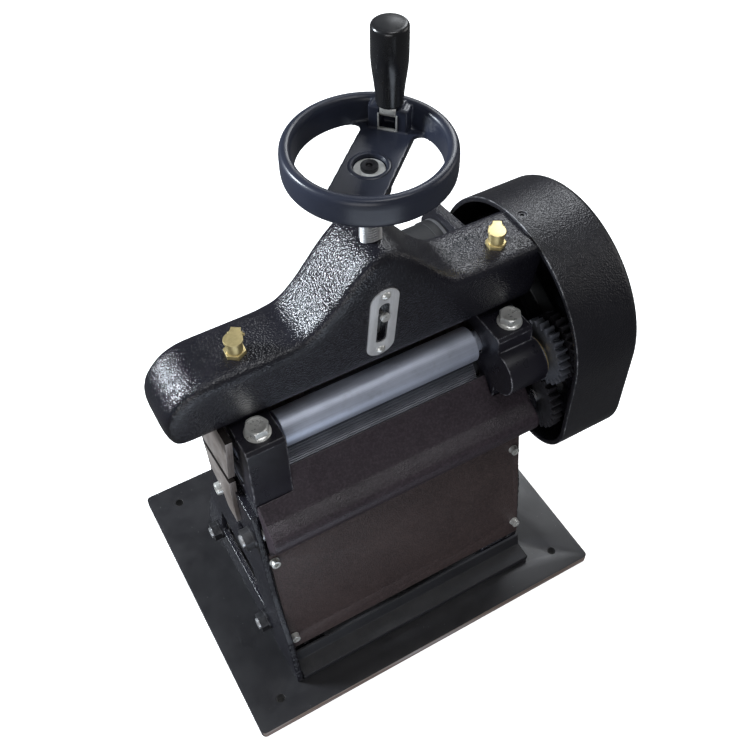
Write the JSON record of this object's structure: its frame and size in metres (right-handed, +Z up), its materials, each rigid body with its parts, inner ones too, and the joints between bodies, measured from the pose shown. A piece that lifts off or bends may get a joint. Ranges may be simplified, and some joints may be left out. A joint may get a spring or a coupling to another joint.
{
  "type": "leather splitting machine",
  "caption": "Bench leather splitting machine: cast bridge over feed rollers and a flat blade, handwheel gauge screw with folding handle, motor driven gear train in a drum cover",
  "frame": {"origin": "centre of the bench bolt pattern on the underside of the base plate", "axes": "+X right along the rollers towards the gear cover, +Y to the back, away from the operator, +Z up"},
  "size_m": [0.428, 0.32, 0.6352],
  "materials": {
    "cast": "semi-gloss black wrinkle paint on cast iron",
    "panel": "semi-gloss black wrinkle paint on steel sheet",
    "base": "satin black paint on steel plate",
    "wheel": "satin blue-black enamel",
    "black_oxide": "black oxide steel",
    "steel": "bare turned and ground steel",
    "blade_steel": "ground blade steel",
    "zinc": "zinc plated fasteners",
    "plate": "satin aluminium plate",
    "brass": "turned brass",
    "motor_grey": "dark grey enamel",
    "box_black": "moulded plastic",
    "belt": "rubber",
    "grip": "glossy black plastic"
  },
  "bodies": {
    "frame": {"base_plate": "base", "side_frame_left": "cast", "side_frame_right": "cast", "foot_bolts": "zinc", "foot_rail": "cast", "tie_rods": "steel", "tie_nuts": "black_oxide", "front_panel": "panel", "panel_screws": "zinc", "feed_table": "cast", "bearing_block_left": "cast", "bearing_block_right": "cast", "block_bolts": "zinc", "roller_bushes": "brass", "feed_bush": "brass", "drive_bush": "brass", "blade_bed": "steel", "blade": "blade_steel", "blade_clamp": "steel", "clamp_screws": "zinc", "bridge": "cast", "bridge_studs": "zinc", "screw_nut": "brass", "indicator_plate": "plate", "indicator_screws": "zinc", "oil_cup_left": "brass", "oil_cup_right": "brass", "gear_cover": "panel", "cover_posts": "steel", "cover_screws": "zinc", "cover_plug": "black_oxide", "motor_bracket": "cast", "bracket_bolts": "zinc", "motor": "motor_grey", "motor_bolts": "zinc", "terminal_box": "box_black", "cable_gland": "box_black", "drive_belt": "belt"},
    "gauge": {"gauge_slide": "steel", "gauge_foot": "steel", "pointer": "zinc"},
    "handwheel": {"lift_screw": "steel", "handwheel": "wheel", "wheel_washer": "zinc", "wheel_screw": "black_oxide", "handle_pin": "steel"},
    "handle_arm": {"handle_clevis": "black_oxide"},
    "grip": {"handle_grip": "grip"},
    "lid_left": {"oil_lid_left": "brass"},
    "lid_right": {"oil_lid_right": "brass"},
    "upper_roller": {"upper_roller": "steel"},
    "lower_roller": {"lower_roller": "steel", "lower_gear": "steel"},
    "feed_shaft": {"feed_shaft": "steel", "feed_gear": "steel", "feed_gear_outer": "steel"},
    "drive_shaft": {"drive_shaft": "steel", "drive_gear": "steel", "drive_pulley": "cast"},
    "rotor": {"motor_rotor": "steel"}
  },
  "joints": [
    {"name": "gauge_slide", "type": "slide", "parent": "frame", "child": "gauge", "axis": [0, 0, 1], "range_m": [-0.00401, 0.00601]},
    {"name": "handwheel_spin", "type": "hinge", "parent": "gauge", "child": "handwheel", "pos_m": [0, -0.033, 0.5], "axis": [0, 0, 1], "range_deg": [-576, 864]},
    {"name": "handle_fold", "type": "hinge", "parent": "handwheel", "child": "handle_arm", "pos_m": [0.03539, -0.00057, 0.564], "axis": [0.6756, -0.7373, 0], "range_deg": [0, 90]},
    {"name": "grip_spin", "type": "hinge", "parent": "handle_arm", "child": "grip", "pos_m": [0.03539, -0.00057, 0.6], "axis": [0, 0, 1], "continuous": true},
    {"name": "lid_left_hinge", "type": "hinge", "parent": "frame", "child": "lid_left", "pos_m": [-0.11532, -0.02489, 0.4285], "axis": [-0.8192, 0.5736, 0], "range_deg": [0, 95]},
    {"name": "lid_right_hinge", "type": "hinge", "parent": "frame", "child": "lid_right", "pos_m": [0.12668, -0.02489, 0.4285], "axis": [-0.8192, 0.5736, 0], "range_deg": [0, 95]},
    {"name": "upper_roller_spin", "type": "hinge", "parent": "frame", "child": "upper_roller", "pos_m": [0, -0.04, 0.311], "axis": [1, 0, 0], "continuous": true},
    {"name": "lower_roller_spin", "type": "hinge", "parent": "frame", "child": "lower_roller", "pos_m": [0, -0.04, 0.276], "axis": [1, 0, 0], "continuous": true},
    {"name": "feed_shaft_spin", "type": "hinge", "parent": "frame", "child": "feed_shaft", "pos_m": [0.14, -0.07818, 0.30425], "axis": [1, 0, 0], "continuous": true},
    {"name": "drive_shaft_spin", "type": "hinge", "parent": "frame", "child": "drive_shaft", "pos_m": [0.16, -0.07818, 0.24175], "axis": [1, 0, 0], "continuous": true},
    {"name": "rotor_spin", "type": "hinge", "parent": "frame", "child": "rotor", "pos_m": [0.16, 0.06, 0.328], "axis": [1, 0, 0], "continuous": true}
  ],
  "couplings": [
    {"joint": "gauge_slide", "follows": "handwheel_spin", "m_per_rad": 0.00039789},
    {"joint": "feed_shaft_spin", "follows": "lower_roller_spin", "ratio": -0.58333},
    {"joint": "drive_shaft_spin", "follows": "lower_roller_spin", "ratio": 0.53846},
    {"joint": "rotor_spin", "follows": "lower_roller_spin", "ratio": 1.0136}
  ]
}
